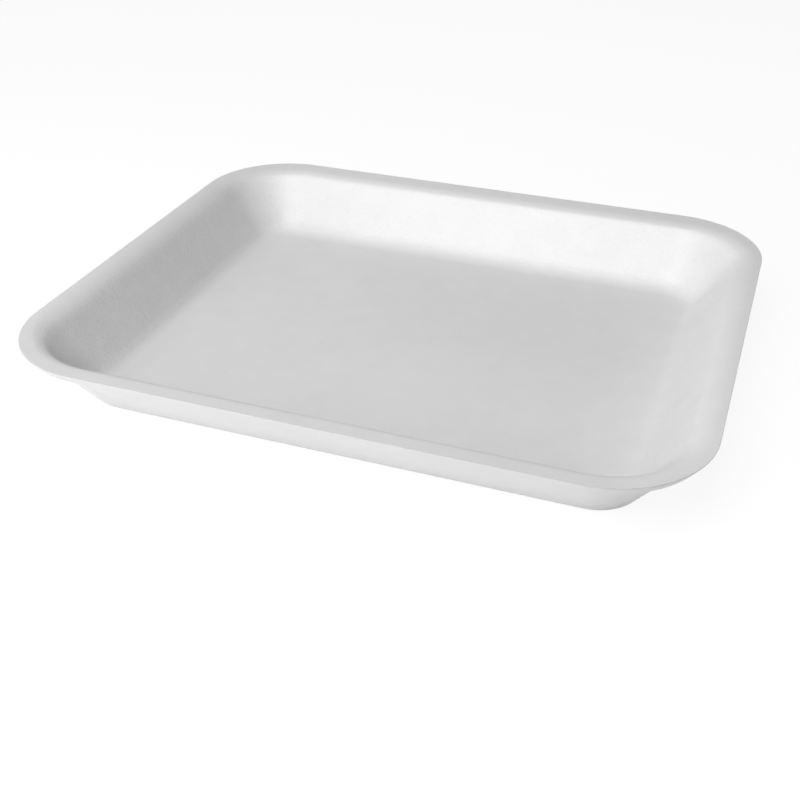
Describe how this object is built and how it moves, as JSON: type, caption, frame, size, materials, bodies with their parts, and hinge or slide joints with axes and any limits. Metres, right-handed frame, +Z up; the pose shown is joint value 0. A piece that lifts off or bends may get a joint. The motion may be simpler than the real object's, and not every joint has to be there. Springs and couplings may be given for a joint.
{
  "type": "foam food tray",
  "caption": "Shallow rectangular foam food tray with rounded corners, sloping walls, a broad rounded rim and a flat smooth floor.",
  "frame": {"origin": "centre of the flat underside, on the surface the tray rests on", "axes": "+X along the tray's length, +Y along its width, +Z up out of the tray's open side"},
  "size_m": [0.26, 0.2176, 0.0288],
  "materials": {
    "foam": "foamed polystyrene sheet with a smooth, faintly glossy skin over fine cells"
  },
  "bodies": {
    "root": {"tray": "foam"}
  },
  "joints": []
}
